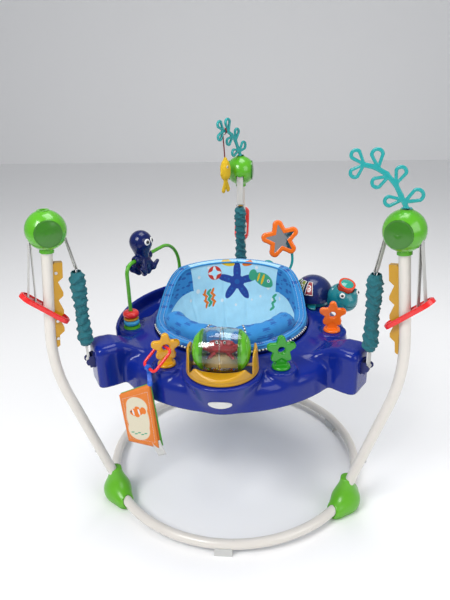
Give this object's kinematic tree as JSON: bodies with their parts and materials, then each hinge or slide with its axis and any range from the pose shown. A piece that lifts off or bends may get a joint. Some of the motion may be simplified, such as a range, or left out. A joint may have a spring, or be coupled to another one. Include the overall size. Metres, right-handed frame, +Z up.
{
  "type": "baby activity jumper",
  "caption": "Free-standing baby jumper: round toy tray and spinning cloth seat hung on sprung straps from a tube frame, with height clips and hanging toys.",
  "frame": {"origin": "centre of the base ring, on the floor", "axes": "+Z up, +Y to the rear leg, so the front of the tray with the roller faces -Y"},
  "size_m": [0.9062, 0.8827, 0.9431],
  "materials": {
    "white_tube": "white powder coat",
    "grey_rubber": "matt",
    "green_plastic": "gloss",
    "steel": "zinc plated",
    "yellow_plastic": "gloss",
    "aqua_plastic": "gloss",
    "red_plastic": "gloss",
    "white_webbing": "woven webbing",
    "teal_fabric": "gathered woven cloth",
    "navy_plastic": "satin",
    "blue_plastic": "high gloss",
    "ivory_plastic": "gloss",
    "orange_plastic": "gloss",
    "light_blue_plastic": "gloss",
    "teal_plastic": "gloss",
    "collar_plastic": "gloss",
    "lens_plastic": "translucent",
    "key_green": "satin",
    "key_olive": "satin",
    "key_red": "satin",
    "mirror_film": "mirror film",
    "clear_plastic": "clear plastic",
    "crab_plastic": "gloss",
    "seat_cloth": "printed polyester",
    "book_cloth": "printed cloth",
    "fish_plush": "short plush"
  },
  "bodies": {
    "frame": {"base_tube_front": "white_tube", "base_tube_left": "white_tube", "base_tube_right": "white_tube", "base_pads": "grey_rubber", "foot_covers": "green_plastic", "foot_bases": "green_plastic", "leg_stubs": "white_tube", "snap_buttons": "steel", "leg_left": "white_tube", "leg_right": "white_tube", "leg_rear": "white_tube", "racks": "yellow_plastic", "rack_screws": "steel", "heads": "green_plastic", "head_caps": "green_plastic", "strap_bars": "steel", "leaf_right": "aqua_plastic", "leaf_rear": "aqua_plastic", "adjust_straps": "white_webbing", "hang_straps": "white_webbing"},
    "hanger": {"upper_hooks": "steel", "springs": "steel", "spring_covers": "teal_fabric"},
    "clip_left": {"clip_left": "red_plastic"},
    "clip_right": {"clip_right": "red_plastic"},
    "clip_rear": {"clip_rear": "red_plastic"},
    "tray_body": {"tail_straps": "white_webbing", "arm_hooks": "navy_plastic", "tray": "blue_plastic", "badge": "ivory_plastic", "cradle": "yellow_plastic", "star_yellow": "yellow_plastic", "star_green": "green_plastic", "star_orange": "orange_plastic", "arch": "green_plastic", "turtle_shell": "navy_plastic", "turtle_base": "teal_plastic", "turtle_head": "teal_plastic", "light_collar": "collar_plastic", "mirror_stalk": "aqua_plastic", "drum_crab": "crab_plastic"},
    "seat": {"seat_ring": "blue_plastic", "seat_fabric": "seat_cloth", "seat_bolsters": "seat_cloth"},
    "drum": {"drum_barrel": "clear_plastic", "drum_caps": "green_plastic"},
    "red_bead": {"bead_red": "red_plastic"},
    "yellow_bead": {"bead_yellow": "yellow_plastic"},
    "blue_bead": {"bead_blue": "light_blue_plastic"},
    "octopus_toy": {"octopus": "blue_plastic"},
    "mirror_toy": {"mirror_frame": "orange_plastic", "mirror": "mirror_film"},
    "key_one": {"key_1": "key_green"},
    "key_two": {"key_2": "key_olive"},
    "key_three": {"key_3": "key_red"},
    "lens": {"light_lens": "lens_plastic"},
    "link": {"toy_link": "red_plastic"},
    "cloth_book": {"book_clip": "blue_plastic", "book": "book_cloth"},
    "plush_fish": {"fish": "fish_plush"}
  },
  "joints": [
    {"name": "height_adjust", "type": "slide", "parent": "frame", "child": "hanger", "axis": [0, 0, 1], "range_m": [-0.088, 0.044], "deforming": ["hang_straps", "adjust_straps"]},
    {"name": "clip_left_slide", "type": "slide", "parent": "frame", "child": "clip_left", "axis": [0.0905, 0.0523, 0.9945], "range_m": [-0.044, 0.088]},
    {"name": "clip_right_slide", "type": "slide", "parent": "frame", "child": "clip_right", "axis": [-0.0905, 0.0523, 0.9945], "range_m": [-0.044, 0.088]},
    {"name": "clip_rear_slide", "type": "slide", "parent": "frame", "child": "clip_rear", "axis": [0, -0.1045, 0.9945], "range_m": [-0.044, 0.088]},
    {"name": "bounce", "type": "slide", "parent": "hanger", "child": "tray_body", "axis": [0, 0, 1], "range_m": [-0.09, 0.03], "stiffness_N_per_m": 1500, "springref_m": 0.03, "deforming": ["springs", "spring_covers"]},
    {"name": "seat_spin", "type": "hinge", "parent": "tray_body", "child": "seat", "pos_m": [0, 0, 0.44], "axis": [0, 0, 1], "continuous": true},
    {"name": "drum_spin", "type": "hinge", "parent": "tray_body", "child": "drum", "pos_m": [0, -0.257, 0.512], "axis": [1, 0, 0], "continuous": true},
    {"name": "red_bead_slide", "type": "slide", "parent": "tray_body", "child": "red_bead", "axis": [0, 0, 1], "range_m": [0, 0.096]},
    {"name": "yellow_bead_slide", "type": "slide", "parent": "tray_body", "child": "yellow_bead", "axis": [0, 0, 1], "range_m": [0, 0.064]},
    {"name": "blue_bead_slide", "type": "slide", "parent": "tray_body", "child": "blue_bead", "axis": [0, 0, 1], "range_m": [0, 0.032]},
    {"name": "octopus_spin", "type": "hinge", "parent": "tray_body", "child": "octopus_toy", "pos_m": [-0.23725, 0.03113, 0.627], "axis": [0.3584, 0.9336, 0], "continuous": true},
    {"name": "mirror_sway", "type": "hinge", "parent": "tray_body", "child": "mirror_toy", "pos_m": [0.16355, 0.2551, 0.5741], "axis": [0.9848, 0.1736, 0], "range_deg": [-12, 12], "stiffness_Nm_per_rad": 0.8},
    {"name": "key_one_press", "type": "slide", "parent": "tray_body", "child": "key_one", "axis": [-0.7364, -0.2111, 0.6428], "range_m": [-0.0025, 0], "stiffness_N_per_m": 300, "springref_m": 0.002},
    {"name": "key_two_press", "type": "slide", "parent": "tray_body", "child": "key_two", "axis": [-0.551, -0.5321, 0.6428], "range_m": [-0.0025, 0], "stiffness_N_per_m": 300, "springref_m": 0.002},
    {"name": "key_three_press", "type": "slide", "parent": "tray_body", "child": "key_three", "axis": [-0.2111, -0.7364, 0.6428], "range_m": [-0.0025, 0], "stiffness_N_per_m": 300, "springref_m": 0.002},
    {"name": "lens_press", "type": "slide", "parent": "tray_body", "child": "lens", "axis": [0.2034, -0.3522, 0.9135], "range_m": [-0.0025, 0], "stiffness_N_per_m": 400, "springref_m": 0.002},
    {"name": "link_swing", "type": "hinge", "parent": "tray_body", "child": "link", "pos_m": [-0.133, -0.23036, 0.5011], "axis": [0.6428, -0.766, 0], "range_deg": [-70, 0]},
    {"name": "book_swing", "type": "hinge", "parent": "link", "child": "cloth_book", "pos_m": [-0.1771, -0.2517, 0.46125], "axis": [0.6428, -0.766, 0], "range_deg": [-60, 0]},
    {"name": "fish_swing", "type": "hinge", "parent": "frame", "child": "plush_fish", "pos_m": [-0.0415, 0.36752, 0.9071], "axis": [-0.5, -0.866, 0], "range_deg": [-35, 35]}
  ],
  "couplings": [
    {"joint": "clip_left_slide", "follows": "height_adjust", "ratio": -1},
    {"joint": "clip_right_slide", "follows": "height_adjust", "ratio": -1},
    {"joint": "clip_rear_slide", "follows": "height_adjust", "ratio": -1},
    {"joint": "yellow_bead_slide", "follows": "red_bead_slide", "ratio": 0.66},
    {"joint": "blue_bead_slide", "follows": "red_bead_slide", "ratio": 0.33}
  ]
}
